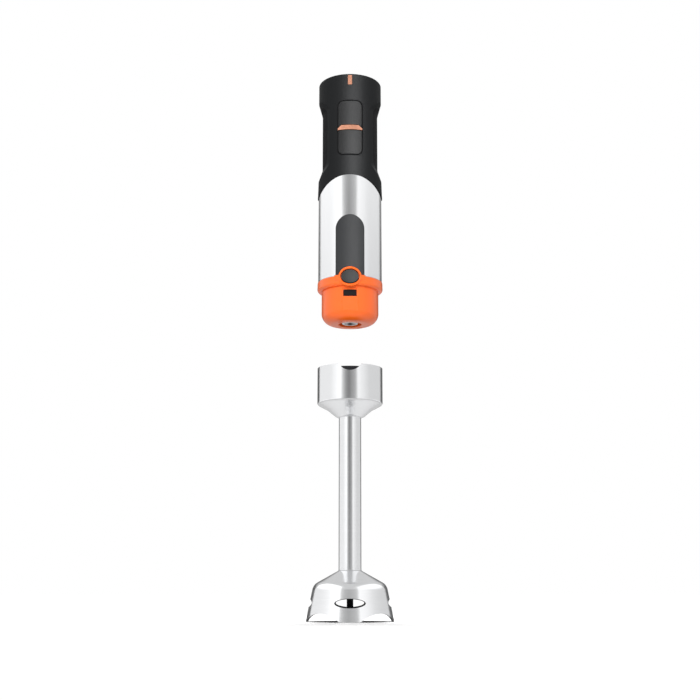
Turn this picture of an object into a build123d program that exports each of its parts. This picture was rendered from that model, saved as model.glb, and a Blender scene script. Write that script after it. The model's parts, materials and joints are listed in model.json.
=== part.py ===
from build123d import *
from math import cos, radians, sin
import os

# Immersion blender in two pieces: a motor unit above, and the blending leg that it plugs into.
# Millimetres. +Z is up along the common axis, -Y is the front, and z = 0 is the plane of the guard's feet.
# The leg stands on its guard. The motor unit stands clear above it, and slides down by DOCK_TRAVEL to dock.
# Heights of the motor unit are measured from the underside of its plug, and UNIT_BASE lifts them into place.

# ---------------------------------------------------------------- driving dimensions
RIM = 205.9  # top of the leg's collar
COLLAR_R = 27.1
STEEL = 0.9  # sheet thickness of collar, tube and sleeve
TUBE_R = 9.2
GUARD_R = 35.5  # at the feet
GUARD_SLOPE = 0.208  # radius lost per mm of height
GUARD_WALL = 1.2

PLUG_R = 24.0
PLUG_WALL = 2.1
FLANGE_R, FLANGE_LOW, FLANGE_TOP = 27.7, 27.9, 36.0
SLEEVE_R = 27.0
HANDLE_R = 27.1
SKIRT_R = 28.2  # the handle flares to this at its lower edge
UNIT_TOP = 215.7  # rim of the handle, where the dial stands out
RUN = 0.05  # radial clearance of a running fit
GAP = 0.5  # gap between a push button and its opening

UNIT_BASE = 243.6  # lifted clear of the leg
SEAT = FLANGE_LOW - 0.1  # height on the plug where the collar's rim comes to rest
DOCK_TRAVEL = UNIT_BASE + SEAT - RIM

BASE = (Align.CENTER, Align.CENTER, Align.MIN)
parts = {}


# ---------------------------------------------------------------- helpers
def disc(radius, bottom, top, x=0.0, y=0.0):
    return Pos(x, y, bottom) * Cylinder(radius, top - bottom, align=BASE)


def ring(outer, inner, bottom, top, x=0.0, y=0.0):
    return disc(outer, bottom, top, x, y) - disc(inner, bottom, top, x, y)


def block(x0, x1, y0, y1, z0, z1):
    return Pos((x0 + x1) / 2, (y0 + y1) / 2, (z0 + z1) / 2) * Box(x1 - x0, y1 - y0, z1 - z0)


def outline(*points):
    """A closed face through points given as (across, up)."""
    return make_face(Polyline(*points, close=True))


def turned(face):
    """Revolves a face drawn as (radius, height)."""
    return revolve(Plane.XZ * face, axis=Axis.Z)


def forward(face, back, front):
    """Extrudes a face drawn as (x, z) from y = back to y = front, where front is the lower y."""
    return extrude(Plane.XZ.offset(-back) * face, amount=back - front)


def peg(radius, x, z, back, front):
    """A round peg along Y."""
    return forward(Pos(x, z) * Circle(radius), back, front)


def around(shape, count, start=0.0):
    """Copies of a shape, evenly spaced about Z."""
    return [Rot(0, 0, start + i * 360 / count) * shape for i in range(count)]


def fused(shapes):
    total = shapes[0]
    for shape in shapes[1:]:
        total = total + shape
    return total


def cut(shape, tools):
    for tool in tools:
        shape = shape - tool
    return shape


def coil_spring(radius, wire, length, turns):
    """A compression spring along +Z from the origin."""
    pitch = (length - wire) / turns
    path = Helix(pitch=pitch, height=length - wire, radius=radius)
    section = Plane(origin=path @ 0, z_dir=path % 0) * Circle(wire / 2)
    return Pos(0, 0, wire / 2) * sweep(section, path=path)


def keep(name, shape, lifted=False):
    """Adds a sub-part. A part of the motor unit is drawn from the plug's underside, and lifted here."""
    parts[name] = Pos(0, 0, UNIT_BASE) * shape if lifted else shape


# ---------------------------------------------------------------- leg: collar
CONE_TOP, CONE_FOOT = 175.6, 164.7
FLOOR = RIM - SEAT - 0.6  # top of the liner's floor, just under the docked plug
NOTCH_R, NOTCH_UP = 10.3, 4.4  # the round notch under the boss, and its centre's height above the rim
LINER_R = COLLAR_R - STEEL - 0.05
TUBE_BORE = TUBE_R - STEEL - 0.05  # what fits inside the tube


def collar():
    outer = outline(
        (0, RIM), (COLLAR_R, RIM), (COLLAR_R, CONE_TOP), (18.6, CONE_TOP - 4.6), (12.0, CONE_FOOT + 0.8),
        (10.4, CONE_FOOT), (0, CONE_FOOT),
    )
    outer = fillet([v for v in outer.vertices() if v.X > COLLAR_R - 0.1 and v.Y < RIM - 1], 2.2)
    outer = fillet([v for v in outer.vertices() if 11 < v.X < 19], 6)
    bore = COLLAR_R - STEEL
    inner = outline(
        (0, RIM + 1), (bore, RIM + 1), (bore, CONE_TOP + 0.6), (18.1, CONE_TOP - 3.7),
        (11.5, CONE_FOOT + 1.7), (TUBE_R, CONE_FOOT + 0.9), (TUBE_R, CONE_FOOT - 1), (0, CONE_FOOT - 1),
    )
    inner = fillet([v for v in inner.vertices() if v.X > bore - 0.1 and v.Y < RIM - 1], 0.8)
    inner = fillet([v for v in inner.vertices() if 11 < v.X < 19], 6)
    shell = turned(outer) - turned(inner)
    rim_edges = [e for e in shell.edges() if abs(e.center().Z - RIM) < 0.01]
    shell = fillet(rim_edges, 0.35)
    return shell - forward(Pos(0, RIM + NOTCH_UP) * Circle(NOTCH_R), -15, -40)


def collar_liner():
    """The lining of the cup's wall. Behind the notch its edge is lower, so that the boss clears it."""
    wall = ring(LINER_R, PLUG_R + 0.35, FLOOR, RIM - 0.6)
    return wall - block(-9.4, 9.4, -40, -15, RIM - 2.3, RIM)


def liner_floor():
    """The cup's floor, with a neck in the tube that holds the upper bush."""
    floor = disc(LINER_R, CONE_TOP + 1.2, FLOOR) + disc(24.8, CONE_TOP + 0.4, FLOOR)
    floor = floor + disc(TUBE_BORE, 152, FLOOR)
    return floor - disc(6.0, 171.0, FLOOR + 1) - disc(5.0, 150, 172)


def leg_tube():
    return ring(TUBE_R, TUBE_R - STEEL, 38.6, CONE_FOOT + 2.0) - disc(TUBE_R - STEEL, 30, 38.7)


# ---------------------------------------------------------------- leg: guard
GUARD_TOP = 40.1
SHOULDER_Z, SHOULDER_R, SHOULDER_ROUND = 28.9, 29.5, 8.5
WINDOW_Z, WINDOW_W, WINDOW_H = 14.4, 24.4, 7.3
ARCH_H, ARCH_R = 6.6, 29.8


def guard_wall(inset, foot):
    """The guard's outer form moved in by inset."""
    top = GUARD_TOP - inset * 1.15
    face = outline(
        (0, top), (TUBE_R, top), (SHOULDER_R - inset * 0.85, SHOULDER_Z - inset * 0.75),
        (GUARD_R - inset - foot * GUARD_SLOPE, foot), (0, foot),
    )
    corner = [v for v in face.vertices() if abs(v.X - (SHOULDER_R - inset * 0.85)) < 0.01]
    return turned(fillet(corner, SHOULDER_ROUND - inset))


def foot_cutter():
    """An arch between two feet, and all that would hang below the floor."""
    face = Pos(0, ARCH_H - ARCH_R) * Circle(ARCH_R) + Pos(0, -5) * Rectangle(80, 10)
    face = fillet([v for v in face.vertices() if abs(v.Y) < 0.01 and abs(v.X) < 30], 5.0)
    return forward(face, 0, -50)


def bell_guard():
    shell = guard_wall(0.0, -1.0) - guard_wall(GUARD_WALL, -2.0) - disc(TUBE_R, 20, 60)
    window = forward(Pos(0, WINDOW_Z) * Ellipse(WINDOW_W / 2, WINDOW_H / 2), 0, -50)
    return cut(shell, around(window, 4) + around(foot_cutter(), 4, 45))


def bell_hub():
    face = outline((5.0, 21.0), (6.4, 21.0), (TUBE_BORE, 25.0), (TUBE_BORE, 52.0), (5.0, 52.0))
    return turned(face) + ring(TUBE_R - 0.05, TUBE_BORE - 0.1, 33.0, 38.5)


keep("collar", collar())
keep("collar_liner", collar_liner())
keep("liner_floor", liner_floor())
keep("leg_tube", leg_tube())
keep("bell_guard", bell_guard())
keep("bell_hub", bell_hub())

# ---------------------------------------------------------------- leg: drive line
SHAFT_R, SHAFT_TOP = 2.5, 176.0
BLADE_Z = 8.6
DOG_TIP = RIM - SEAT + 7.8  # reaches this far into the docked socket
ARM_W = 3.0  # width of each arm of the drive cross
ARM_R = 4.6  # reach of the socket's arms


def drive_cross(reach, width, bottom, top, core):
    arms = block(-reach, reach, -width / 2, width / 2, bottom, top)
    return fused([arms, Rot(0, 0, 90) * arms, disc(core, bottom, top)])


def driven_coupling():
    dog = disc(5.7, 173.0, FLOOR - 0.2) + drive_cross(ARM_R - 0.25, ARM_W - 0.5, FLOOR - 0.3, DOG_TIP, 2.9)
    dog = chamfer([e for e in dog.edges() if abs(e.center().Z - DOG_TIP) < 0.01], 0.5)
    return dog - disc(SHAFT_R, 170, SHAFT_TOP)


def blade():
    """Two swept wings on a round centre, one bent up and one bent down."""
    plan = Polyline((-4.2, 0), (-4.4, 8), (-2.6, 17), (2.2, 24), (4.6, 22.4), (4.0, 14), (4.2, 0), close=True)
    wing = extrude(make_face(plan), amount=1.2)
    wing = fillet(wing.edges().filter_by(Axis.Z).filter_by(lambda e: e.center().Y > 12), 1.2)
    edge = Pos(-6.2, 12, 1.2) * Rot(0, 28, 0) * Box(4, 40, 2.4)
    wing = Pos(0, 0, -0.6) * (wing - edge)
    up = Rot(5, 0, 0) * wing
    down = Rot(0, 0, 180) * (Rot(-5, 0, 0) * wing)
    wings = up + down - disc(5.0, 0.6, 3) - disc(5.0, -3, -0.6)
    return Pos(0, 0, BLADE_Z) * (Rot(0, 0, 90) * (wings + disc(5.0, -0.6, 0.6)) - disc(1.8, -5, 5))


keep("upper_bush", ring(5.0, SHAFT_R + RUN, 158.5, 170.5))
keep("middle_bush", ring(TUBE_BORE, SHAFT_R + RUN, 98.0, 105.0))
keep("lower_bush", ring(5.0, SHAFT_R + RUN, 25.0, 37.0))
keep("leg_shaft_seal", ring(5.0, SHAFT_R + RUN, 21.5, 24.8) - ring(4.2, 3.2, 20.5, 22.8))
keep("blade_shaft", disc(SHAFT_R, 20.8, SHAFT_TOP) + disc(1.8, 5.4, 20.8))
keep("driven_coupling", driven_coupling())
keep("shaft_clip", ring(4.3, SHAFT_R, 155.6, 156.6) - block(-1.2, 1.2, -6, 0, 150, 160))
carrier = disc(2.65, BLADE_Z + 1, 20.7) + disc(4.4, BLADE_Z + 0.65, BLADE_Z + 2.2)
keep("blade_carrier", carrier - disc(1.8, 0, 30))
keep("blade", blade())
nut = disc(3.6, 5.6, BLADE_Z - 0.65)
keep("blade_nut", chamfer(nut.edges().sort_by(Axis.Z)[0], 0.9) - disc(1.8, 4.9, 9))

# ---------------------------------------------------------------- plug with flange, boss and latch
SPIGOT_TOP = 39.2  # the plug's collar inside the inner housing ends here
SOCKET_R, WELL_R, WELL_TOP = 6.9, 9.65, 12.4
CORNER = 9.5  # rounding of the plug's lower edge
BOSS_Z, BOSS_FACE = 35.0, 28.6  # height of the boss, and the radius of its curved face
BOSS_W, BOSS_H = 19.2, 16.6
HOLE_W, HOLE_H = 16.2, 13.0
HOLE_BACK, CAP_BACK = -24.7, -26.6  # the cap stands this far forward, so that it can travel
RING_GAP = 0.7  # the dark line around the release button
SLOT_Z, SLOT_W, SLOT_H = 22.2, 11.2, 5.6  # the latch's window
KEYWAY, KEY_LOW, KEY_TOP = 22.9, 7.0, 26.2  # the flat down the plug's front: distance from the axis, and ends
SPRING_Z = (SLOT_Z + BOSS_Z) / 2  # the latch's spring sits between its tongue and the button's stem
SPRING_BACK = -12.6  # front of the rib that the latch's spring pushes against


def ellipse_at(width, height, up):
    return Pos(0, up) * Ellipse(width / 2, height / 2)


def coupling_housing():
    body = outline(
        (0, 0), (PLUG_R, 0), (PLUG_R, FLANGE_LOW), (FLANGE_R, FLANGE_LOW), (SLEEVE_R + 0.5, FLANGE_TOP),
        (0, FLANGE_TOP),
    )
    body = fillet([v for v in body.vertices() if v.X > PLUG_R - 0.1 and v.Y < 1], CORNER)
    body = fillet([v for v in body.vertices() if v.X > FLANGE_R - 0.1], 2.6)
    body = fillet([v for v in body.vertices() if v.X > SLEEVE_R and v.Y > FLANGE_TOP - 0.1], 0.7)
    spigot = ring(24.3, 22.4, FLANGE_TOP - 0.5, SPIGOT_TOP)
    flare = Pos(0, FLANGE_TOP - 1.5) * Rectangle(BOSS_W + 6, 4.2)
    boss = forward(ellipse_at(BOSS_W, BOSS_H, BOSS_Z), -18, -40)
    wings = forward(flare, -18, -40) & disc(SLEEVE_R + 0.9, 20, FLANGE_TOP + 0.6)
    boss = (boss & disc(BOSS_FACE, 10, 50)) + wings
    solid = turned(body) + boss + spigot

    inside = disc(PLUG_R - PLUG_WALL, 2.4, FLANGE_TOP - 4)
    inside = fillet([e for e in inside.edges() if abs(e.center().Z - 2.4) < 0.01], 7.0)
    inside = inside - disc(WELL_R + 1.9, 0, WELL_TOP + 2) + disc(22.4, FLANGE_TOP - 4.1, 60)
    inside = inside + disc(24.4, SPIGOT_TOP, 60)
    solid = solid - inside - disc(WELL_R, -1, WELL_TOP) - disc(6.6, -1, WELL_TOP + 5)
    solid = solid + block(-4.2, 4.2, SPRING_BACK, SPRING_BACK + 1.8, 11, SPRING_Z + 3.2)
    well_edge = [e for e in solid.edges() if abs(e.center().Z) < 0.01 and abs(e.radius - WELL_R) < 0.1]
    solid = chamfer(well_edge, 0.5)

    key_face = Pos(0, (KEY_LOW + KEY_TOP) / 2) * RectangleRounded(13.4, KEY_TOP - KEY_LOW, 1.2)
    keyway = forward(key_face, -KEYWAY, -40)
    window = forward(Pos(0, SLOT_Z) * Rectangle(SLOT_W, SLOT_H), -15, -40)
    button_hole = forward(ellipse_at(HOLE_W, HOLE_H, BOSS_Z), HOLE_BACK, -40)
    stem_hole = forward(Pos(0, BOSS_Z) * Rectangle(7.0, 5.0), -15, -40)
    drain = Pos(13.7, 0, 0) * (Rot(0, 0, 90) * extrude(SlotOverall(5.2, 2.2), amount=12, both=True))
    drain = Rot(0, 0, 235) * drain
    return cut(solid, [keyway, window, button_hole, stem_hole, drain, Rot(0, 0, 180) * drain])


def release_button():
    cap = forward(ellipse_at(HOLE_W - 2 * RING_GAP, HOLE_H - 2 * RING_GAP, BOSS_Z), CAP_BACK, -40)
    cap = cap & disc(BOSS_FACE - 0.1, 10, 50)
    front = [e for e in cap.edges() if e.center().Y < CAP_BACK - 0.2]
    cap = fillet(front, 0.5)
    return cap + forward(Pos(0, BOSS_Z) * Rectangle(6.2, 4.2), -20.6, CAP_BACK - 0.2)


def latch_slider():
    plate = block(-6.5, 6.5, -20.4, -18.6, SLOT_Z - 3.2, BOSS_Z + 3.2)
    tongue = block(-5.2, 5.2, -22.8, -20.3, SLOT_Z - 2.5, SLOT_Z + 2.5)
    seat = block(-3.2, 3.2, -20.6, -20.3, BOSS_Z - 2.1, BOSS_Z + 2.1)
    return plate + tongue + seat - peg(2.9, 0, SPRING_Z, -18.0, -19.4)


def drive_socket():
    body = disc(SOCKET_R, 0.9, 10.4) + disc(4.6, 10.0, 15.8)
    body = chamfer([e for e in body.edges() if abs(e.center().Z - 0.9) < 0.01], 0.5)
    body = body - drive_cross(ARM_R, ARM_W, 0, 9.2, 3.15)
    return body - disc(3.0, 10.4, 20)


keep("coupling_housing", coupling_housing(), lifted=True)
keep("release_button", release_button(), lifted=True)
keep("latch_slider", latch_slider(), lifted=True)
spring = Rot(-90, 0, 0) * coil_spring(2.2, 0.5, SPRING_BACK + 19.25, 5)
keep("release_spring", Pos(0, -19.3, SPRING_Z) * spring, lifted=True)
keep("drive_socket", drive_socket(), lifted=True)
keep("socket_seal", ring(6.6, 4.6 + RUN, WELL_TOP + 0.1, WELL_TOP + 1.9), lifted=True)

# ---------------------------------------------------------------- sleeve, inlay and inner housing
ARCH_TOP, ARCH_RADIUS = 124.4, 35.6  # the handle's arched edge, front and back
INLAY_W, INLAY_TOP = 23.9, 89.0
INNER_R, INNER_WALL, HOUSING_TOP = 26.0, 1.6, 122.0


def under_arch(lower):
    return forward(Pos(0, ARCH_TOP - ARCH_RADIUS) * Circle(ARCH_RADIUS - lower), 60, -60) + block(
        -60, 60, -60, 60, 0, ARCH_TOP - ARCH_RADIUS
    )


def inlay_tool(grow):
    half = INLAY_W / 2 + grow
    round_z = INLAY_TOP - INLAY_W / 2
    face = Pos(0, round_z) * Circle(half) + Pos(0, (20 + round_z) / 2) * Rectangle(2 * half, round_z - 20)
    return forward(face, 0, -40)


def boss_clearance():
    """The space around the boss and its wings, which the sleeve and the inlay leave free."""
    face = Pos(0, BOSS_Z) * Ellipse(BOSS_W / 2 + 0.4, BOSS_H / 2 + 0.4)
    face = face + Pos(0, FLANGE_TOP - 1.5) * Rectangle(BOSS_W + 6.8, 4.9)
    return forward(face, 0, -40)


def vents(grow):
    """Air slots at the back, beside the cooling fan."""
    slot = block(-0.8 - grow, 0.8 + grow, 20, 30, 44.5 - grow, 53.5 + grow)
    return [Rot(0, 0, angle) * slot for angle in range(-36, 37, 9)]


def steel_sleeve():
    tube = ring(SLEEVE_R, SLEEVE_R - STEEL, FLANGE_TOP + 0.2, ARCH_TOP + 1)
    return cut(tube & under_arch(0.15), [inlay_tool(0.1), boss_clearance(), *vents(0.0)])


def front_inlay():
    panel = ring(SLEEVE_R - 0.1, INNER_R + 0.1, FLANGE_TOP + 0.2, INLAY_TOP + 2)
    return (panel & inlay_tool(0.0)) - boss_clearance()


def motor_housing():
    tube = ring(INNER_R, INNER_R - INNER_WALL, FLANGE_TOP + 0.2, HOUSING_TOP)
    return cut(tube, [boss_clearance(), *vents(0.3)])


keep("steel_sleeve", steel_sleeve(), lifted=True)
keep("front_inlay", front_inlay(), lifted=True)
keep("motor_housing", motor_housing(), lifted=True)

# ---------------------------------------------------------------- handle
SCOOP_X, SCOOP_R = 13.0, 36.8  # each side of the waist is an arc about an axis this far past the middle
WALL = 2.3
PAD = 1.2
DIAL_Y = -3.5
GLAND_Y = 18.6


def scoop(inset):
    """What the scoops on both sides leave of the handle."""
    face = outline(
        (0, 90), (44, 90), (44, 118), (SCOOP_R + 3.4 - inset, 125.8), (SCOOP_R - inset, 135.6),
        (SCOOP_R - inset, 186.8), (SCOOP_R + 3.3 - inset, 198.8), (44, 205), (44, 240), (0, 240),
    )
    for z, radius in ((125.8, 7), (135.6, 12), (186.8, 14), (198.8, 6)):
        face = fillet([v for v in face.vertices() if abs(v.Y - z) < 0.01 and v.X > 30], radius)
    right = Pos(-SCOOP_X, 0, 0) * turned(face)
    return right & (Rot(0, 0, 180) * right)


def side_pads(depth):
    face = Pos(0, 162.5) * RectangleRounded(35, 60, 12)
    slab = extrude(Plane.YZ * face, amount=40, both=True)
    return slab - extrude(Plane.YZ * face, amount=15, both=True) - (scoop(depth) & disc(SKIRT_R, 90, 240))


def handle_form():
    face = outline(
        (0, 95), (SKIRT_R, 95), (SKIRT_R, 100), (HANDLE_R, 128), (HANDLE_R, UNIT_TOP), (0, UNIT_TOP),
    )
    face = fillet([v for v in face.vertices() if abs(v.Y - 128) < 0.01], 500)
    return turned(face) & scoop(0)


BUTTON_W, BUTTON_LOW, BUTTON_TOP, BUTTON_CORNER = 20.9, 142.1, 190.9, 4.8
BAR_LOW, BAR_TOP, BAR_TOP_HALF = 164.5, 168.5, 7.4


def bar_face(grow):
    half = BUTTON_W / 2
    return outline(
        (-half, BAR_LOW - grow), (half, BAR_LOW - grow), (half, BAR_LOW + 1.3 + grow),
        (BAR_TOP_HALF, BAR_TOP + grow), (-BAR_TOP_HALF, BAR_TOP + grow), (-half, BAR_LOW + 1.3 + grow),
    )


def button_opening():
    middle = (BUTTON_LOW + BUTTON_TOP) / 2
    face = Pos(0, middle) * RectangleRounded(BUTTON_W, BUTTON_TOP - BUTTON_LOW, BUTTON_CORNER)
    return forward(face, 0, -40)


POST_X, POST_LOW, POST_TOP = 11.0, 142.0, 193.0
BOARD_FRONT, BOARD_BACK = -10.0, -8.4


def post_places():
    return [(x, z) for x in (-POST_X, POST_X) for z in (POST_LOW, POST_TOP)]


def handle_shell():
    outer = handle_form()
    outer = fillet([e for e in outer.edges() if abs(e.center().Z - UNIT_TOP) < 0.01], 1.4)
    hollow = disc(HANDLE_R - WALL, 128, UNIT_TOP + 1) & scoop(WALL + 0.2)
    hollow = hollow + disc(INNER_R + 0.1, 90, HOUSING_TOP + 0.2)
    hollow = hollow + disc(INNER_R - INNER_WALL, HOUSING_TOP, 128.1)
    shell = outer - hollow - under_arch(0.0)
    posts = [peg(2.4, x, z, 24.4, BOARD_BACK) & disc(HANDLE_R - 1, 100, UNIT_TOP) for x, z in post_places()]
    shell = fused([shell, *posts])
    holes = [peg(0.9, x, z, 0.0, BOARD_BACK - 1) for x, z in post_places()]
    return cut(shell, [side_pads(PAD), button_opening(), pointer_tool(0.0), *holes])


def pointer_tool(grow):
    return block(-1.8 - grow, 1.8 + grow, -40, -HANDLE_R + 1.1, 205.6, 214.2) & disc(HANDLE_R + 0.1, 200, 220)


def grip_pads():
    return handle_form() & side_pads(PAD)


def top_cap():
    cap = disc(HANDLE_R - WALL - 0.05, 211.4, UNIT_TOP) + ring(HANDLE_R - WALL - 0.05, 23.4, 206.0, 211.5)
    cap = cap - disc(15.6, 213.4, 220, 0, DIAL_Y) - disc(3.4, 200, 220, 0, DIAL_Y)
    return cap - disc(4.7, 200, 220, 0, GLAND_Y)


def speed_dial():
    knob = disc(15.0, 213.7, 219.2)
    knob = fillet(knob.edges().sort_by(Axis.Z)[-1], 1.2)
    knob = cut(knob, around(disc(0.7, 214.6, 221, 15.3, 0), 30))
    knob = knob - block(-0.8, 0.8, -14, -5, 218.5, 221)
    return Pos(0, DIAL_Y, 0) * (knob + disc(3.0, 206.8, 214.0))


def cable_gland():
    low = 207.8
    gland = ring(6.2, 3.4, UNIT_TOP + 0.05, 219.0) + ring(4.6, 3.4, low, 216.0) + ring(6.2, 3.4, low, 211.3)
    return (Pos(0, GLAND_Y, 0) * gland) - ring(40, 23.3, low - 1, UNIT_TOP)


keep("handle_shell", handle_shell(), lifted=True)
keep("grip_pads", grip_pads(), lifted=True)
keep("top_cap", top_cap(), lifted=True)
keep("pointer_mark", pointer_tool(-0.05), lifted=True)
keep("speed_dial", speed_dial(), lifted=True)
keep("dial_mark", block(-0.7, 0.7, DIAL_Y - 13.4, DIAL_Y - 5.2, 218.55, 219.25), lifted=True)
keep("cable_gland", cable_gland(), lifted=True)

# ---------------------------------------------------------------- push buttons
CAP_R = HANDLE_R + 0.25
CAP_IN = 24.5


def button(face, flange_low, flange_top, stem_z):
    cap = forward(face, -10, -40) & ring(CAP_R, CAP_IN, 120, 200)
    flange_face = Pos(0, (flange_low + flange_top) / 2) * Rectangle(23.2, flange_top - flange_low)
    flange = forward(flange_face, -10, -40)
    flange = flange & ring(CAP_IN + 0.1, CAP_IN - 1.1, 120, 200)
    stem = peg(1.8, 0, stem_z, -19.4, -24.5)
    return cap + flange + stem


def upper_face():
    half = BUTTON_W / 2 - GAP
    low, top = BAR_LOW + 1.5, BUTTON_TOP - GAP
    face = Pos(0, (low + top) / 2) * RectangleRounded(2 * half, top - low, BUTTON_CORNER - GAP)
    return face - bar_face(GAP + 0.1) + upper_corners(half)


def upper_corners(half):
    """The two lower corners, which come down beside the sloping ends of the bar."""
    slope = outline(
        (half, 174), (half, BAR_LOW + 2.3), (BAR_TOP_HALF + 0.2, BAR_TOP + 0.65), (BAR_TOP_HALF, 174),
    )
    return slope + mirror(slope, about=Plane.YZ)


def lower_face():
    half = BUTTON_W / 2 - GAP
    low, top = BUTTON_LOW + GAP, BAR_LOW - 0.45
    face = Pos(0, (low + top + 10) / 2) * RectangleRounded(2 * half, top + 10 - low, BUTTON_CORNER - GAP)
    return face - Pos(0, top + 20) * Rectangle(40, 40)


def divider():
    return forward(bar_face(0.0), -10, -40) & ring(HANDLE_R + 0.55, 25.3, 150, 180)


SWITCHES = (178.5, 152.5)
keep("speed_button", button(upper_face(), BAR_TOP + 1.6, BUTTON_TOP + 1.3, SWITCHES[0]), lifted=True)
keep("turbo_button", button(lower_face(), BUTTON_LOW - 1.3, BAR_LOW - 1.6, SWITCHES[1]), lifted=True)
keep("button_divider", divider(), lifted=True)

# ---------------------------------------------------------------- electronics
BOARD_LOW, BOARD_TOP = 136.0, 197.0
SPRING_FRONT = -CAP_IN + 1.3  # where a button's spring meets its flange


def microswitch(z):
    case = block(-3.2, 3.2, -16.2, BOARD_FRONT, z - 6.4, z + 6.4)
    return case + peg(1.1, 0, z, -16.0, -17.3)


def board_screw(x, z):
    return peg(1.9, x, z, BOARD_FRONT, BOARD_FRONT - 1.3) + peg(0.9, x, z, -1.0, BOARD_FRONT)


def switch_board():
    board = block(-15, 15, BOARD_FRONT, BOARD_BACK, BOARD_LOW, BOARD_TOP)
    return cut(board, [peg(0.9, x, z, 0, -20) for x, z in post_places()])


PIN_X = (-3.0, 0.0, 3.0)


def speed_board():
    return cut(block(-17, 17, -12, 12, 198.7, 200.2), [disc(0.6, 198, 201, x, DIAL_Y - 6) for x in PIN_X])


def potentiometer():
    body = disc(8.0, 200.3, 205.4, 0, DIAL_Y) + disc(3.4, 205.3, 206.7, 0, DIAL_Y)
    pins = [disc(0.5, 197.6, 200.4, x, DIAL_Y - 6) for x in PIN_X]
    return fused([body, *pins])


def heat_sink():
    plate = block(-12, 12, -8.2, -6.7, 167, 188)
    fins = [block(x, x + 1.2, -6.8, 2.5, 167, 188) for x in (-12.0, -7.2, -2.4, 2.4, 7.2, 10.8)]
    return fused([plate, *fins])


def button_spring(z):
    length = BOARD_FRONT - 0.2 - SPRING_FRONT
    return Pos(0, SPRING_FRONT, z) * (Rot(-90, 0, 0) * coil_spring(2.4, 0.5, length, 7))


keep("switch_board", switch_board(), lifted=True)
keep("board_screws", Compound(children=[board_screw(x, z) for x, z in post_places()]), lifted=True)
keep("microswitches", Compound(children=[microswitch(z) for z in SWITCHES]), lifted=True)
keep("speed_board", speed_board(), lifted=True)
keep("potentiometer", potentiometer(), lifted=True)
keep("filter_capacitor", block(-7, 7, -8.3, 2.0, 145, 163), lifted=True)
keep("heat_sink", heat_sink(), lifted=True)
keep("speed_button_spring", button_spring(SWITCHES[0] + 9.6), lifted=True)
keep("turbo_button_spring", button_spring(SWITCHES[1] - 9.6), lifted=True)

# ---------------------------------------------------------------- motor
MOTOR_SHAFT_R = 3.0
STACK_LOW, STACK_TOP = 58.0, 86.0
LOWER_BRACKET = (39.6, 43.8)  # its underside and top
BOLT_X = 20.7
SEAT_R = 6.5
BORE = INNER_R - INNER_WALL - 0.1  # what fits inside the inner housing


def wedge(half_angle, bottom, top):
    """A slice either side of +Y, as wide as half_angle on each side."""
    reach = 60
    x, y = reach * sin(radians(half_angle)), reach * cos(radians(half_angle))
    return extrude(Pos(0, 0, bottom) * outline((0, 0), (x, y), (-x, y)), amount=top - bottom)


def stator_core():
    yoke = ring(22.7, 18.8, STACK_LOW, STACK_TOP)
    neck = block(-7.5, 7.5, 14.5, 20, STACK_LOW, STACK_TOP)
    shoe = ring(16.0, 13.6, STACK_LOW, STACK_TOP) & wedge(58, STACK_LOW, STACK_TOP)
    pole = neck + shoe - disc(13.6, STACK_LOW, STACK_TOP)
    core = fused([yoke, pole, Rot(0, 0, 180) * pole])
    bolts = [disc(1.7, STACK_LOW - 1, STACK_TOP + 1, x, 0) for x in (-BOLT_X, BOLT_X)]
    return cut(core, bolts)


def field_coil():
    slab = ring(18.6, 16.1, STACK_LOW - 4, STACK_TOP + 4) & wedge(55, STACK_LOW - 4, STACK_TOP + 4)
    return slab - block(-7.6, 7.6, 10, 30, STACK_LOW - 0.1, STACK_TOP + 0.1)


def armature_slot(grow):
    return block(-1.3 - grow, 1.3 + grow, 7.0 - grow, 12.2, STACK_LOW - 1, STACK_TOP + 1)


def armature_core():
    core = ring(13.0, MOTOR_SHAFT_R, STACK_LOW, STACK_TOP)
    mouths = [block(-0.6, 0.6, 10, 14, STACK_LOW - 1, STACK_TOP + 1)]
    return cut(core, around(armature_slot(0.0), 12) + around(mouths[0], 12))


def armature_winding():
    bars = [block(-1.2, 1.2, 7.1, 12.1, STACK_LOW - 0.5, STACK_TOP + 0.5)]
    spans = ((STACK_LOW - 4.4, STACK_LOW - 0.1), (STACK_TOP + 0.1, STACK_TOP + 4.6))
    ends = [ring(12.2, 4.4, *span) for span in spans]
    ends = [fillet(e.edges().filter_by(GeomType.CIRCLE).sort_by(lambda c: -c.radius)[:2], 1.4) for e in ends]
    return fused(ends + around(bars[0], 12))


def commutator():
    body = ring(7.4, MOTOR_SHAFT_R, 94, 105) + ring(8.6, MOTOR_SHAFT_R, 92.4, 94.1)
    return cut(body, around(block(-0.25, 0.25, 6.6, 10, 92, 106), 24))


def cooling_fan():
    vanes = around(Rot(0, 0, 12) * block(-0.7, 0.7, 6, 18.2, 46.4, 51.8), 11)
    plate = disc(18.6, 45.2, 46.5) + disc(7.0, 45.2, 52.0)
    return fused([plate, *vanes]) - disc(MOTOR_SHAFT_R, 40, 60)


def bracket(low, high):
    """A spider that centres a bearing in the inner housing."""
    rim = ring(BORE, BORE - 2.2, low, high)
    arm = block(-3.4, 3.4, -BORE + 1, BORE - 1, low, high)
    ears = [disc(3.2, low, high, x, 0) for x in (-BOLT_X, BOLT_X)]
    body = fused([rim, arm, Rot(0, 0, 90) * arm, disc(SEAT_R + 2.4, low, high)]) & disc(BORE, low, high)
    body = body - disc(SEAT_R, low, high)
    body = fused([body, *[e & disc(BORE, low, high) for e in ears]])
    return cut(body, [disc(1.6, low - 1, high + 1, x, 0) for x in (-BOLT_X, BOLT_X)])


def motor_bolt(x):
    shank = disc(1.6, LOWER_BRACKET[0] + 0.4, 113.4, x, 0)
    return shank + disc(2.9, 113.0, 115.2, x, 0)


def brush(side):
    return block(min(side * 7.5, side * 14), max(side * 7.5, side * 14), -2.0, 2.0, 97.2, 101.8)


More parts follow.
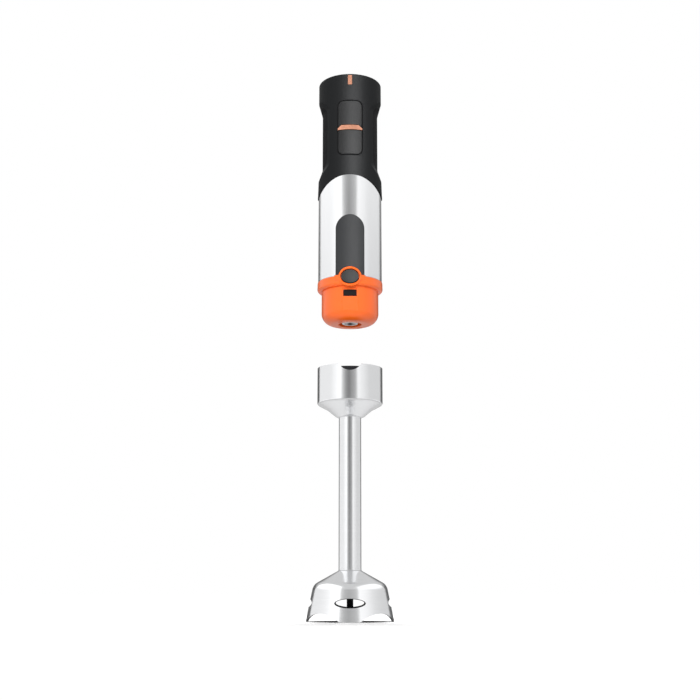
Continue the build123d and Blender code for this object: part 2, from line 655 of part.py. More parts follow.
def brush_holder(side):
    low, high = sorted((side * 9.2, side * 20.4))
    case = block(low, high, -3.0, 3.0, 96.2, 102.8)
    bore_low, bore_high = sorted((side * 9.0, side * 19.6))
    stand = block(min(side * 10, side * 18), max(side * 10, side * 18), -2.6, 2.6, 102.7, 108.2)
    return case + stand - block(bore_low, bore_high, -2.05, 2.05, 97.15, 101.85)


def brush_spring(side):
    coil = Rot(0, side * 90, 0) * coil_spring(1.4, 0.4, 5.5, 5)
    return Pos(side * 14.05, 0, 99.5) * coil


def both(maker):
    """A pair, one at the front and one at the back."""
    return Compound(children=[Rot(0, 0, 90) * maker(-1), Rot(0, 0, 90) * maker(1)])


keep("stator_core", stator_core(), lifted=True)
keep("field_coils", Compound(children=[field_coil(), Rot(0, 0, 180) * field_coil()]), lifted=True)
keep("lower_bracket", bracket(*LOWER_BRACKET), lifted=True)
keep("upper_bracket", bracket(108.2, 113.0), lifted=True)
keep("lower_bearing", ring(SEAT_R, MOTOR_SHAFT_R + RUN, *LOWER_BRACKET), lifted=True)
keep("upper_bearing", ring(SEAT_R, MOTOR_SHAFT_R + RUN, 108.2, 113.0), lifted=True)
keep("motor_bolts", Compound(children=[motor_bolt(-BOLT_X), motor_bolt(BOLT_X)]), lifted=True)
keep("brush_holders", both(brush_holder), lifted=True)
keep("carbon_brushes", both(brush), lifted=True)
keep("brush_springs", both(brush_spring), lifted=True)
keep("rotor_shaft", disc(MOTOR_SHAFT_R, 10.4, 117.0), lifted=True)
keep("armature_core", armature_core(), lifted=True)
keep("armature_winding", armature_winding(), lifted=True)
keep("commutator", commutator(), lifted=True)
keep("cooling_fan", cooling_fan(), lifted=True)

# ---------------------------------------------------------------- files
os.makedirs("parts", exist_ok=True)
for name, shape in parts.items():
    export_step(shape, f"parts/{name}.step")
print(len(parts), "nodes; docking travel", round(DOCK_TRAVEL, 2), "mm")
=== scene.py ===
import json
from math import atan2, cos, hypot, pi, radians, sin, sqrt, tan

import bpy
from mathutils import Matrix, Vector


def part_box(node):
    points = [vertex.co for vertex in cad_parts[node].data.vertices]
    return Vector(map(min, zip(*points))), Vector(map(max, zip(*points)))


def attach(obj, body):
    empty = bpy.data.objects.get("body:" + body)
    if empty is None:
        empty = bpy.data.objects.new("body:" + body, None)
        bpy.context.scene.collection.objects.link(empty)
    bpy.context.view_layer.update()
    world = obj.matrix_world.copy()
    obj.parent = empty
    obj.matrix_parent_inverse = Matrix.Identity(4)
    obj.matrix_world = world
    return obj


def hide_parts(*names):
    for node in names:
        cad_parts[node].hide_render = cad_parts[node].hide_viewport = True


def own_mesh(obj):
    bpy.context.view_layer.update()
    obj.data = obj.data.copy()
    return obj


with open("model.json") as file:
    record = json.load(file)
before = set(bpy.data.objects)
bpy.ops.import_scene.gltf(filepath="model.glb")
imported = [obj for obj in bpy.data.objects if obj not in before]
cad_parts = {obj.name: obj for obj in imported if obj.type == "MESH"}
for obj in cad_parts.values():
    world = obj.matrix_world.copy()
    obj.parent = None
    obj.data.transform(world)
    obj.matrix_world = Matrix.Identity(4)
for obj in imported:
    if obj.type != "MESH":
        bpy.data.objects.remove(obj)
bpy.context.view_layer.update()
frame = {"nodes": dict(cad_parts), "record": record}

# Immersion blender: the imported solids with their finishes, a few fine pieces, a floor, soft light and a
# camera. Metres, with z up and the front towards -y. The fine pieces are drawn in millimetres.

MM = 0.001
nodes = frame["nodes"]
record = frame["record"]
slot_of = {sub["node"]: sub["material_slot"] for sub in record["subparts"]}
base_of = {m["slot"]: m["base_color"] for m in record["materials"]}

# ---------------------------------------------------------------- camera
CAMERA_DISTANCE = 0.95
CAMERA_HEIGHT = 0.022
OBJECT_SHARE = 0.784857  # the object's height, as a share of the square picture's
RISE_SHARE = 0.002714  # how far the object's middle stands above the picture's, as such a share
SENSOR = 36.0


def add_camera():
    """A low, near camera, whose lens and tilt place the object's foot and top in the picture."""
    foot_y, top_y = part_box("bell_guard")[0].y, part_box("handle_shell")[0].y
    top_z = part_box("handle_shell")[1].z
    low = atan2(-CAMERA_HEIGHT, CAMERA_DISTANCE + foot_y)
    high = atan2(top_z - CAMERA_HEIGHT, CAMERA_DISTANCE + top_y)
    focal = OBJECT_SHARE / 2 / tan((high - low) / 2)  # as a share of the picture too
    pitch = (low + high) / 2 - RISE_SHARE / focal
    data = bpy.data.cameras.new("camera")
    data.sensor_width = SENSOR
    data.lens = focal * SENSOR
    data.clip_end = 50
    camera = bpy.data.objects.new("camera", data)
    camera.location = (0, -CAMERA_DISTANCE, CAMERA_HEIGHT)
    camera.rotation_euler = (pi / 2 + pitch, 0, 0)
    bpy.context.scene.collection.objects.link(camera)
    bpy.context.scene.camera = camera


# ---------------------------------------------------------------- node helpers
def grey(value):
    return (value, value, value, 1)


def shade(colour, factor=1.0):
    """The colour, made darker or lighter, with an alpha of 1."""
    return tuple(min(1.0, c * factor) for c in colour[:3]) + (1,)


class Graph:
    """Short calls for building a material's nodes."""

    def __init__(self, tree):
        self.tree = tree

    def add(self, kind, **settings):
        node = self.tree.nodes.new(kind)
        for key, value in settings.items():
            setattr(node, key, value)
        return node

    def feed(self, node, socket, value):
        """Link the socket to another node's output, or set it when the value is a constant."""
        if isinstance(value, bpy.types.NodeSocket):
            self.tree.links.new(value, node.inputs[socket])
        elif value is not None:
            node.inputs[socket].default_value = value

    def math(self, operation, a, b=0.0):
        node = self.add("ShaderNodeMath", operation=operation)
        self.feed(node, 0, a)
        self.feed(node, 1, b)
        return node.outputs[0]

    def place(self):
        return self.add("ShaderNodeTexCoord").outputs["Object"]

    def axes(self, place=None):
        """The three coordinates of a place, under the names X, Y and Z."""
        split = self.add("ShaderNodeSeparateXYZ")
        self.feed(split, 0, place or self.place())
        return split.outputs

    def stretched(self, scale):
        """Coordinates scaled unevenly, on which a noise is drawn out into streaks."""
        mapping = self.add("ShaderNodeMapping")
        self.feed(mapping, "Vector", self.place())
        mapping.inputs["Scale"].default_value = scale
        return mapping.outputs[0]

    def noise(self, scale, vector=None, detail=4.0, roughness=0.55, distortion=0.0):
        node = self.add("ShaderNodeTexNoise")
        self.feed(node, "Vector", vector or self.place())
        self.feed(node, "Scale", scale)
        self.feed(node, "Detail", detail)
        self.feed(node, "Roughness", roughness)
        self.feed(node, "Distortion", distortion)
        return node.outputs["Fac"]

    def wave(self, along, period_mm):
        return self.math("SINE", self.math("MULTIPLY", along, 2 * pi / (period_mm * MM)))

    def ramp(self, fac, *stops):
        """Stops are pairs of a position and either a grey level or a colour."""
        node = self.add("ShaderNodeValToRGB")
        self.feed(node, "Fac", fac)
        elements = node.color_ramp.elements
        while len(elements) < len(stops):
            elements.new(0.5)
        for element, (position, colour) in zip(elements, stops):
            element.position = position
            element.color = grey(colour) if isinstance(colour, (int, float)) else (*colour[:3], 1)
        return node.outputs["Color"]

    def remap(self, value, low, high, to_low, to_high):
        node = self.add("ShaderNodeMapRange")
        for i, v in enumerate((value, low, high, to_low, to_high)):
            self.feed(node, i, v)
        return node.outputs[0]

    def spread(self, noise, low, high):
        """A noise lies mostly between 0.3 and 0.7, which this spreads from low to high."""
        return self.remap(noise, 0.3, 0.7, low, high)

    def mix(self, fac, a, b):
        node = self.add("ShaderNodeMix", data_type="RGBA")
        for socket, value in ((0, fac), (6, a), (7, b)):
            self.feed(node, socket, value)
        return node.outputs[2]

    def bump(self, height, strength, depth_mm, normal=None):
        node = self.add("ShaderNodeBump")
        self.feed(node, "Strength", strength)
        self.feed(node, "Distance", depth_mm * MM)
        self.feed(node, "Height", height)
        self.feed(node, "Normal", normal)
        return node.outputs[0]

    def soft_edges(self, radius_mm=0.35):
        node = self.add("ShaderNodeBevel", samples=4)
        node.inputs["Radius"].default_value = radius_mm * MM
        return node.outputs[0]


def new_material(name):
    material = bpy.data.materials.new(name)
    material.use_nodes = True
    return material, Graph(material.node_tree), material.node_tree.nodes["Principled BSDF"]


def settle(g, shader, colour, roughness, normal, **constant):
    """Feed the shader. A constant's name is its socket's, with underscores for spaces."""
    g.feed(shader, "Base Color", colour)
    g.feed(shader, "Roughness", roughness)
    g.feed(shader, "Normal", normal)
    for socket, value in constant.items():
        shader.inputs[socket.replace("_", " ")].default_value = value


# ---------------------------------------------------------------- finishes
AROUND = (60, 60, 6000)  # noise scale whose streaks run around the axis
ALONG = (6000, 6000, 40)  # noise scale whose streaks run along the axis


def brushed(name, colour, rough=0.2, grain=AROUND, streak=0.06, metallic=1.0):
    """Brushed metal: fine streaks over broader ones, and a soft cloud where it has been handled."""
    material, g, shader = new_material(name)
    streaks = g.noise(1.0, g.stretched(grain), detail=5, roughness=0.6)
    broad = g.noise(1.0, g.stretched(tuple(s * 0.2 for s in grain)), detail=3)
    handled = g.noise(28, detail=3)
    tint = g.ramp(streaks, (0.3, shade(colour, 1 - streak)), (0.7, shade(colour, 1 + streak * 0.4)))
    tint = g.mix(g.remap(handled, 0.35, 0.7, 0.0, 0.06), tint, shade(colour, 0.86))
    grooves = g.spread(streaks, rough - 0.03, rough + 0.04)
    roughness = g.math("ADD", grooves, g.spread(handled, -0.01, 0.03))
    height = g.math("ADD", streaks, g.math("MULTIPLY", broad, 0.4))
    normal = g.bump(height, strength=0.05, depth_mm=0.05)
    settle(g, shader, tint, roughness, normal, Metallic=metallic)
    return material


def moulded(
    name, colour, rough=0.45, texture=1900, depth_mm=0.06, strength=0.25, wear=1.25, coat=0.0, specular=0.5
):
    """Moulded plastic: a fine spark-eroded texture, faint flow clouds and rubbed, shinier patches."""
    material, g, shader = new_material(name)
    fine = g.noise(texture, detail=3)
    flow = g.noise(18, detail=4, distortion=0.6)
    rubbed = g.remap(g.noise(46, detail=5), 0.52, 0.72, 0.0, 1.0)
    tint = g.ramp(flow, (0.3, shade(colour, 0.94)), (0.7, shade(colour, 1.05)))
    tint = g.mix(g.math("MULTIPLY", rubbed, 0.3), tint, shade(colour, wear))
    grain = g.spread(fine, rough - 0.04, rough + 0.06)
    roughness = g.math("SUBTRACT", grain, g.math("MULTIPLY", rubbed, 0.06))
    normal = g.bump(fine, strength, depth_mm, g.soft_edges())
    settle(
        g, shader, tint, roughness, normal,
        Coat_Weight=coat, Coat_Roughness=0.25, Specular_IOR_Level=specular,
    )
    return material


def rubber(name, colour, rough=0.7):
    """Rubber: a coarse matt skin with dust in its hollows."""
    material, g, shader = new_material(name)
    skin = g.noise(1300, detail=4, roughness=0.7)
    dust = g.remap(g.noise(60, detail=6), 0.5, 0.8, 0.0, 0.4)
    tint = g.mix(dust, shade(colour, 0.95), shade(colour, 1.7))
    roughness = g.spread(skin, rough - 0.08, rough + 0.1)
    normal = g.bump(skin, strength=0.4, depth_mm=0.08)
    settle(g, shader, tint, roughness, normal, Specular_IOR_Level=0.35)
    return material


def turned_metal(name, colour, rough=0.3):
    """A turned metal with fine rings and a slight stain."""
    material, g, shader = new_material(name)
    rings = g.noise(1.0, g.stretched((60, 60, 1800)), detail=5)
    stain = g.noise(90, detail=5)
    tint = g.ramp(stain, (0.3, shade(colour, 0.8)), (0.65, shade(colour, 1.1)))
    roughness = g.spread(rings, rough - 0.07, rough + 0.1)
    normal = g.bump(rings, strength=0.15, depth_mm=0.08)
    settle(g, shader, tint, roughness, normal, Metallic=1.0)
    return material


def laminated(name, colour, sheet_mm=0.5):
    """A stack of thin sheets, with a dark line between each pair."""
    material, g, shader = new_material(name)
    sheet = g.remap(g.wave(g.axes()["Z"], sheet_mm), -1.0, -0.6, 0.0, 1.0)
    tint = g.mix(sheet, shade(colour, 0.35), shade(colour))
    roughness = g.remap(sheet, 0, 1, 0.6, 0.38)
    normal = g.bump(sheet, strength=0.4, depth_mm=0.05)
    settle(g, shader, tint, roughness, normal, Metallic=0.8)
    return material


def wound(name, colour, wire_mm=0.6):
    """Enamelled wire laid side by side, with painted shade in the grooves between the wires."""
    material, g, shader = new_material(name)
    axes = g.axes()
    lay = g.math("ADD", axes["X"], g.math("MULTIPLY", axes["Y"], 0.35))
    wires = g.wave(lay, wire_mm)
    # Darker in the grooves between wires and lighter on their crests: painted shade.
    tint = g.mix(g.remap(wires, -1, 1, 0, 1), shade(colour, 0.4), shade(colour, 1.15))
    normal = g.bump(wires, strength=0.6, depth_mm=0.1)
    settle(g, shader, tint, 0.3, normal, Metallic=0.85, Coat_Weight=0.5, Coat_Roughness=0.2)
    return material


def circuit(name, colour):
    """Solder resist over a faint net of tracks."""
    material, g, shader = new_material(name)
    cells = g.add("ShaderNodeTexVoronoi", feature="DISTANCE_TO_EDGE")
    g.feed(cells, "Vector", g.place())
    cells.inputs["Scale"].default_value = 260
    track = g.remap(cells.outputs["Distance"], 0.03, 0.06, 1.0, 0.0)
    tint = g.mix(track, shade(colour), shade(colour, 1.7))
    normal = g.bump(track, strength=0.3, depth_mm=0.04)
    settle(g, shader, tint, 0.35, normal, Coat_Weight=0.4, Coat_Roughness=0.15)
    return material


def ribbed(name, colour, rib_mm=2.2):
    """Soft grip rubber with fine slanting ribs, painted shade in the hollows between them, and a little
    dust.
    """
    material, g, shader = new_material(name)
    axes = g.axes()
    slant = g.math("ADD", axes["Z"], g.math("MULTIPLY", axes["Y"], 0.45))
    crest = g.remap(g.wave(slant, rib_mm), -0.5, 0.6, 0.0, 1.0)
    skin = g.noise(1500, detail=4, roughness=0.7)
    dust = g.remap(g.noise(60, detail=6), 0.5, 0.8, 0.0, 0.3)
    # Darker in the hollows between ribs and lighter on their crests: painted shade.
    tint = g.mix(crest, shade(colour, 0.7), shade(colour, 1.1))
    tint = g.mix(dust, tint, shade(colour, 1.5))
    height = g.math("ADD", crest, g.math("MULTIPLY", skin, 0.15))
    normal = g.bump(height, 0.5, 0.3, g.soft_edges())
    settle(g, shader, tint, g.spread(skin, 0.56, 0.72), normal, Specular_IOR_Level=0.08)
    return material


# Each slot's finish and its values. Colours are linear: most are set here, and a few are the record's.
STEEL = (0.785, 0.79, 0.80)
finish = {
    "leg_steel": (brushed, dict(colour=STEEL, rough=0.17)),
    "sleeve_steel": (brushed, dict(colour=STEEL, grain=ALONG)),
    "blade_steel": (brushed, dict(colour=(0.62, 0.63, 0.65), rough=0.24, grain=(500, 90, 500), streak=0.2)),
    "sink_aluminium": (brushed, dict(
        colour=(0.6, 0.61, 0.62), rough=0.35, grain=(40, 40, 1500), streak=0.15,
    )),
    "copper_trim": (brushed, dict(
        colour=(0.66, 0.30, 0.19), rough=0.32, grain=(2200, 40, 40), streak=0.10, metallic=0.5,
    )),
    "drive_metal": (turned_metal, dict(colour=(0.62, 0.62, 0.63), rough=0.34)),
    "spring_steel": (turned_metal, dict(colour=(0.6, 0.6, 0.62), rough=0.25)),
    "screw_steel": (turned_metal, dict(colour=(0.5, 0.5, 0.5), rough=0.35)),
    "bearing_steel": (turned_metal, dict(colour=(0.68, 0.69, 0.7), rough=0.15)),
    "bronze": (turned_metal, dict(colour=(0.45, 0.28, 0.11), rough=0.4)),
    "commutator_copper": (turned_metal, dict(colour=(0.6, 0.28, 0.12))),
    "coupling_orange": (moulded, dict(
        colour=(0.98, 0.14, 0.008), rough=0.33, texture=1400, depth_mm=0.03, strength=0.12, wear=1.06,
        coat=0.2,
    )),
    "soft_black": (moulded, dict(
        colour=(0.0115, 0.0122, 0.013), rough=0.5, texture=2100, depth_mm=0.05, strength=0.22, wear=1.2,
        specular=0.10,
    )),
    "button_black": (moulded, dict(
        colour=(0.020, 0.0204, 0.021), rough=0.52, texture=2300, depth_mm=0.04, strength=0.2, wear=1.2,
        specular=0.12,
    )),
    "inlay_charcoal": (moulded, dict(
        colour=(0.040, 0.041, 0.043), rough=0.5, texture=2400, depth_mm=0.03, strength=0.12, wear=1.1,
        specular=0.06,
    )),
    "release_slate": (moulded, dict(
        colour=(0.040, 0.040, 0.040), rough=0.5, texture=2000, depth_mm=0.04, strength=0.15, wear=1.2,
        specular=0.05,
    )),
    "dial_black": (moulded, dict(colour=(0.022, 0.022, 0.024), rough=0.5, texture=1800, specular=0.25)),
    "shaft_steel": (moulded, dict(colour=(0.008, 0.008, 0.009), texture=1500, specular=0.2)),  # blackened
    "liner_black": (moulded, dict(colour=(0.012, 0.012, 0.014), rough=0.4, texture=1500, specular=0.3)),
    "component_black": (moulded, dict(colour=(0.012, 0.012, 0.013), texture=1500, specular=0.2)),
    "capacitor_yellow": (moulded, dict(colour=base_of["capacitor_yellow"], rough=0.3, texture=1200)),
    "housing_grey": (moulded, dict(colour=base_of["housing_grey"], rough=0.5, texture=1200)),
    "fan_white": (moulded, dict(colour=base_of["fan_white"], rough=0.5, texture=1200)),
    "carbon": (moulded, dict(colour=(0.02, 0.02, 0.022), rough=0.6, texture=900)),
    "grip_rubber": (ribbed, dict(colour=(0.009, 0.009, 0.010))),
    "seal_rubber": (rubber, dict(colour=(0.006, 0.006, 0.007))),
    "board_green": (circuit, dict(colour=base_of["board_green"])),
    "lamination_steel": (laminated, dict(colour=(0.35, 0.36, 0.38))),
    "winding_copper": (wound, dict(colour=(0.55, 0.2, 0.07))),
}
materials = {slot: make(slot, **values) for slot, (make, values) in finish.items()}
# The slots that the side panels light, and those that the glow lights.
SHINY = ("leg_steel", "sleeve_steel", "copper_trim", "coupling_orange")
MATT = ("soft_black", "grip_rubber", "button_black", "inlay_charcoal", "release_slate")


def dress_nodes():
    for name, node in nodes.items():
        node.data.materials.clear()
        node.data.materials.append(materials[slot_of[name]])


# ---------------------------------------------------------------- fine pieces
fine_pieces = []


def box_mm(name):
    """The low and high corners of a node's box, in millimetres."""
    return [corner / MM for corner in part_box(name)]


UNIT_BASE = box_mm("coupling_housing")[0].z  # the plug's underside
HANDLE_R = 27.1  # at the front, where the buttons are
TUBE_R = box_mm("leg_tube")[1].x


def circle(count):
    """Evenly spaced angles, once around."""
    return [2 * pi * i / count for i in range(count)]


def piece(name, points, faces, body, slot, smooth=False):
    mesh = bpy.data.meshes.new(name)
    mesh.from_pydata([[c * MM for c in point] for point in points], [], faces)
    mesh.validate()
    mesh.materials.append(materials[slot])
    mesh.polygons.foreach_set("use_smooth", [smooth] * len(mesh.polygons))
    shape = bpy.data.objects.new(name, mesh)
    bpy.context.scene.collection.objects.link(shape)
    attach(shape, body)
    fine_pieces.append(shape)
    return shape


def banded(name, sections, body, slot, smooth=False):
    """A closed band. Each section is a loop of points, and the last section joins the first."""
    count, size = len(sections), len(sections[0])
    points = [point for section in sections for point in section]
    faces = []
    for i in range(count):
        a, b = i * size, (i + 1) % count * size
        for j in range(size):
            k = (j + 1) % size
            faces.append((a + j, b + j, b + k, a + k))
    return piece(name, points, faces, body, slot, smooth)


def add_window_shade_lips():
    """A dark rolled lip lines each of the guard's four oval windows; the lip is a dark piece put in as
    painted shade along the window edges.
    """
    middle, half_w, half_h = 14.4, 12.2, 3.65  # a window's height above the floor, and its half sizes
    foot_r, slope = box_mm("bell_guard")[1].x, 0.208  # the guard's radius, and its loss per mm of height
    inward, buried, proud, depth = 0.4, 0.06, 0.1, 1.6
    profile = ((buried, 0), (-inward, 0), (-inward, depth), (buried, depth))
    for quarter in range(4):
        turn = quarter * pi / 2
        sections = []
        for t in circle(72):
            nx, nz = cos(t) / half_w, sin(t) / half_h
            nx, nz = nx / hypot(nx, nz), nz / hypot(nx, nz)
            section = []
            for offset, back in profile:
                x, z = half_w * cos(t) + offset * nx, middle + half_h * sin(t) + offset * nz
                y = back - proud - sqrt((foot_r - slope * z) ** 2 - x * x)
                section.append((x * cos(turn) - y * sin(turn), x * sin(turn) + y * cos(turn), z))
            sections.append(section)
        # The lips take the blackened finish: painted shade along the window edges.
        banded(f"window_shade_lip_{quarter}", sections, "leg", "shaft_steel")


def add_weld_beads():
    """A fine bead where the tube enters the collar's cone, and one where it enters the guard."""
    thickness, off = 0.3, 0.05
    collar_foot, guard_top = box_mm("collar")[0].z, box_mm("bell_guard")[1].z
    for name, height in (("weld_bead_upper", collar_foot + off), ("weld_bead_lower", guard_top + off)):
        ring = [(TUBE_R + off + thickness * cos(k), height + thickness * sin(k)) for k in circle(8)]
        sections = [[(r * cos(t), r * sin(t), z) for r, z in ring] for t in circle(64)]
        banded(name, sections, "leg", "leg_steel", smooth=True)


def rounded_outline(half_w, half_h, corner, steps=10):
    """Points and outward directions around a rounded rectangle."""
    result = []
    for side_x, side_z, start in ((1, 1, 0), (-1, 1, 90), (-1, -1, 180), (1, -1, 270)):
        cx, cz = side_x * (half_w - corner), side_z * (half_h - corner)
        for i in range(steps + 1):
            t = radians(start + 90 * i / steps)
            result.append((cx + corner * cos(t), cz + corner * sin(t), cos(t), sin(t)))
    return result


def filled_in(outline, spacing):
    """The same outline, with more points along its straight stretches."""
    result = []
    for start, end in zip(outline, outline[1:] + outline[:1]):
        steps = max(1, round(hypot(end[0] - start[0], end[1] - start[1]) / spacing))
        for i in range(steps):
            result.append([a + (b - a) * i / steps for a, b in zip(start, end)])
    return result


def add_button_gap_shade():
    """A thin black rubber frame let into the handle around the two push buttons; its black is painted shade
    for the gap around them.
    """
    low, high, half_w, corner = 142.1, 190.9, 10.45, 4.8  # heights are above the plug's underside
    width, crest_at = 0.7, 0.3
    buried_r, edge_r, crest_r = 26.6, HANDLE_R + 0.02, HANDLE_R + 0.1
    profile = ((0.0, buried_r), (0.0, edge_r), (crest_at, crest_r), (width, edge_r), (width, buried_r))
    middle = UNIT_BASE + (low + high) / 2
    sections = []
    for x, z, nx, nz in filled_in(rounded_outline(half_w, (high - low) / 2, corner), spacing=1.5):
        section = []
        for offset, radius in profile:
            px = x + offset * nx
            section.append((px, -sqrt(radius ** 2 - px * px), middle + z + offset * nz))
        sections.append(section)
    # The frame's black rubber finish is painted shade in the gap around the buttons.
    banded("button_gap_shade_frame", sections, "motor_unit", "seal_rubber")


def add_dial_scale():
    """Raised marks on the top cap around the dial, longer at every second one."""
    dial_low, dial_high = box_mm("speed_dial")
    dial_y = (dial_low.y + dial_high.y) / 2
    inner = dial_high.x + 1.6
    cap_top = box_mm("top_cap")[1].z
    long, short, half_w = 2.6, 1.5, 0.35
    levels = ((-0.1, 0.0), (0.1, 0.0), (0.2, 0.12))  # rise above the cap, and how far the mark shrinks there
    points, faces = [], []
    for i in range(13):
        t = radians(-120 + 20 * i)
        length = long if i % 2 == 0 else short
        base = len(points)
        for rise, shrink in levels:
            near, far, side = inner + shrink, inner + length - shrink, half_w - shrink
            for r, across in ((near, -side), (far, -side), (far, side), (near, side)):
                x = r * sin(t) + across * cos(t)
                y = dial_y - r * cos(t) + across * sin(t)
                points.append((x, y, cap_top + rise))
        faces.append((base + 3, base + 2, base + 1, base))
        for level in (base, base + 4):
            for k in range(4):
                a, b = level + k, level + (k + 1) % 4
                faces.append((a, b, b + 4, a + 4))
        faces.append((base + 8, base + 9, base + 10, base + 11))
    piece("dial_scale", points, faces, "motor_unit", "copper_trim")


def add_springs():
    """Coils in place of the solid springs, which are hidden."""
    wire, press, slack = 0.5, 1.8, 0.05
    steps, sides = 24, 8
    for node, joint, turns in (
        ("speed_button_spring", "speed_press", 7),
        ("turbo_button_spring", "turbo_press", 7),
        ("release_spring", "release_press", 5),
    ):
        low, high = box_mm(node)
        x, z = (low.x + high.x) / 2, (low.z + high.z) / 2
        length, radius = high.y - low.y, (high.x - low.x - wire) / 2
        rings = turns * steps
        points = []
        for i in range(rings + 1):
            t = 2 * pi * i / steps
            y = low.y + wire / 2 + (length - wire) * i / rings
            for k in circle(sides):
                r, along = radius + wire / 2 * cos(k), wire / 2 * sin(k)
                points.append((x + r * cos(t), y + along, z + r * sin(t)))
        faces = [
            (a + k, a + (k + 1) % sides, a + sides + (k + 1) % sides, a + sides + k)
            for a in range(0, rings * sides, sides)
            for k in range(sides)
        ]
        faces.append(tuple(range(sides - 1, -1, -1)))
        faces.append(tuple(range(len(points) - sides, len(points))))
        coil = piece(node + "_coil", points, faces, "motor_unit", "spring_steel", smooth=True)
        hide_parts(node)
        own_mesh(coil)


# ---------------------------------------------------------------- floor and light
def floor_paper():
    """Pale paper with a faint gloss, which far away glows evenly to meet the background with no line."""
    seen_albedo, lit_albedo = (0.89, 0.92), 0.58  # for the camera, and for the object's light from below
    seen_glow, lit_glow, glow_strength = 1.0, 0.66, 1.03
    gloss_share, gloss_roughness = 0.08, 0.1
    fade_start, fade_end = 0.11, 0.45  # distances from the axis
    material, g, shader = new_material("floor_paper")
    tree = material.node_tree
    tree.nodes.remove(shader)
    seen = g.add("ShaderNodeLightPath").outputs["Is Camera Ray"]
    fibres = g.ramp(g.noise(900, detail=2), (0.3, seen_albedo[0]), (0.7, seen_albedo[1]))
    diffuse = g.add("ShaderNodeBsdfDiffuse")
    g.feed(diffuse, "Color", g.mix(seen, grey(lit_albedo), fibres))
    gloss = g.add("ShaderNodeBsdfAnisotropic")
    gloss.inputs["Roughness"].default_value = gloss_roughness
    paper = g.add("ShaderNodeMixShader")
    paper.inputs[0].default_value = gloss_share
    g.feed(paper, 1, diffuse.outputs[0])
    g.feed(paper, 2, gloss.outputs[0])
    glow = g.add("ShaderNodeEmission")
    g.feed(glow, "Color", g.mix(seen, grey(lit_glow), grey(seen_glow)))
    glow.inputs["Strength"].default_value = glow_strength
    distance = g.add("ShaderNodeVectorMath", operation="LENGTH")
    g.feed(distance, 0, g.place())
    both = g.add("ShaderNodeMixShader")
    g.feed(both, 0, g.remap(distance.outputs["Value"], fade_start, fade_end, 0.0, 1.0))
    g.feed(both, 1, paper.outputs[0])
    g.feed(both, 2, glow.outputs[0])
    g.feed(tree.nodes["Material Output"], "Surface", both.outputs[0])
    return material


def add_floor():
    reach = 12.0
    mesh = bpy.data.meshes.new("floor")
    corners = [(-reach, -reach, 0), (reach, -reach, 0), (reach, reach, 0), (-reach, reach, 0)]
    mesh.from_pydata(corners, [], [(0, 1, 2, 3)])
    mesh.materials.append(floor_paper())
    floor = bpy.data.objects.new("floor", mesh)
    bpy.context.scene.collection.objects.link(floor)


def add_world():
    """A studio that is pale above and dark around. Its front has the soft bands that the steel shows."""
    bands = (  # a share of the full turn, where 0.5 is the front and less is to the left, and a brightness
        (0.00, 0.12), (0.10, 0.14), (0.30, 0.14), (0.40, 0.50), (0.432, 0.76), (0.452, 0.42), (0.478, 0.26),
        (0.495, 0.20), (0.512, 0.36), (0.545, 0.46), (0.568, 0.66), (0.60, 0.46), (0.70, 0.14), (0.90, 0.14),
        (1.00, 0.12),
    )
    pale, pale_from, pale_full = 0.76, 0.27, 0.50  # brightness above, and the heights of its soft lower edge
    ambient, backdrop = 0.30, 1.0  # what matt surfaces get, and what the camera sees
    world = bpy.data.worlds.new("studio")
    bpy.context.scene.world = world
    world.use_nodes = True
    g = Graph(world.node_tree)
    axes = g.axes(g.add("ShaderNodeTexCoord").outputs["Generated"])
    bearing = g.math("ARCTAN2", axes["X"], g.math("MULTIPLY", axes["Y"], -1.0))
    around = g.ramp(g.math("ADD", g.math("DIVIDE", bearing, 2 * pi), 0.5), *bands)
    studio = g.mix(g.remap(axes["Z"], pale_from, pale_full, 0.0, 1.0), around, grey(pale))
    path = g.add("ShaderNodeLightPath")
    lit = g.mix(path.outputs["Is Diffuse Ray"], studio, grey(ambient))
    background = world.node_tree.nodes["Background"]
    g.feed(background, "Color", g.mix(path.outputs["Is Camera Ray"], lit, grey(backdrop)))
    background.inputs["Strength"].default_value = 1.0


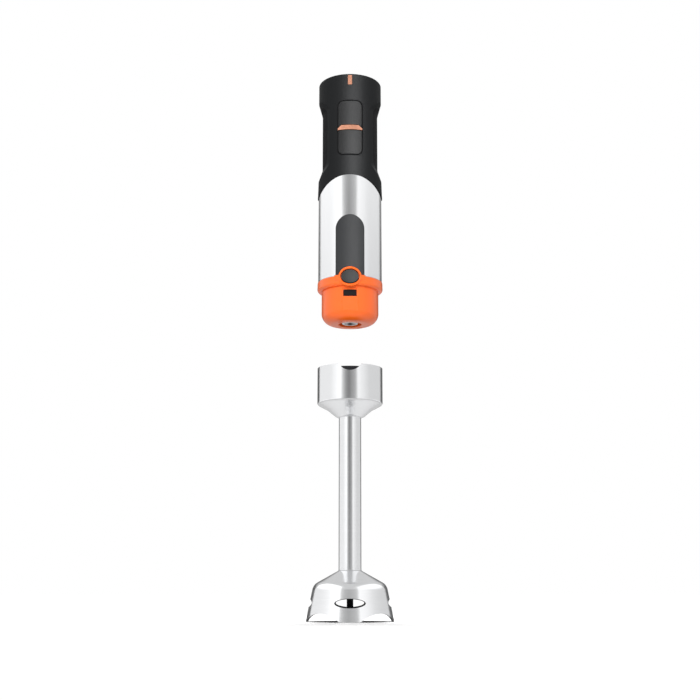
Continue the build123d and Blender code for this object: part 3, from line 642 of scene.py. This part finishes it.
def add_light(name, place, aim, size, power, receivers=(), reflected_only=False):
    """A soft rectangular light. With receivers, it lights only those objects."""
    data = bpy.data.lights.new(name, "AREA")
    data.shape = "RECTANGLE"
    data.size, data.size_y = size
    data.energy = power
    light = bpy.data.objects.new(name, data)
    light.location = place
    light.rotation_euler = (Vector(aim) - Vector(place)).to_track_quat("-Z", "Y").to_euler()
    light.visible_camera = False
    light.visible_diffuse = not reflected_only
    light.visible_glossy = reflected_only
    bpy.context.scene.collection.objects.link(light)
    if receivers:
        group = bpy.data.collections.new(name + "_receivers")
        for receiver in receivers:
            group.objects.link(receiver)
        light.light_linking.receiver_collection = group


def add_panel(name, start, end, radiance, receivers):
    """A tall bright panel, seen only in reflections, between two bearings in degrees from the front."""
    away, height, foot = 1.5, 3.0, -0.1
    bearing, half = radians((start + end) / 2), radians(abs(end - start) / 2)
    width = 2 * away * tan(half)
    place = (away * sin(bearing), -away * cos(bearing), foot + height / 2)
    aim = (0, 0, place[2])
    power = radiance * pi * width * height
    add_light(name, place, aim, (width, height), power, receivers, reflected_only=True)


def add_lights():
    """An overhead light, one from the front, a glow that the matt parts reflect, and two side panels."""
    middle = (0, 0, 0.3)
    whole = [*nodes.values(), *fine_pieces]
    shiny = [node for name, node in nodes.items() if slot_of[name] in SHINY]
    matt = [node for name, node in nodes.items() if slot_of[name] in MATT]
    add_light("overhead", place=(0, 0.5, 1.6), aim=(0, 0, 0), size=(0.7, 0.7), power=43)
    add_light("front", place=(-0.12, -1.5, 0.7), aim=middle, size=(0.5, 0.9), power=21, receivers=whole)
    add_light(
        "glow", place=(0.35, -1.6, 0.5), aim=middle, size=(1.2, 1.2), power=100, receivers=matt,
        reflected_only=True,
    )
    add_panel("panel_left", start=-29, end=-136, radiance=0.90, receivers=shiny)
    add_panel("panel_right", start=25, end=136, radiance=0.68, receivers=shiny)


# ---------------------------------------------------------------- build
add_camera()
dress_nodes()
add_window_shade_lips()
add_weld_beads()
add_button_gap_shade()
add_dial_scale()
add_springs()
add_floor()
add_world()
add_lights()
bpy.context.scene.view_settings.view_transform = "Standard"
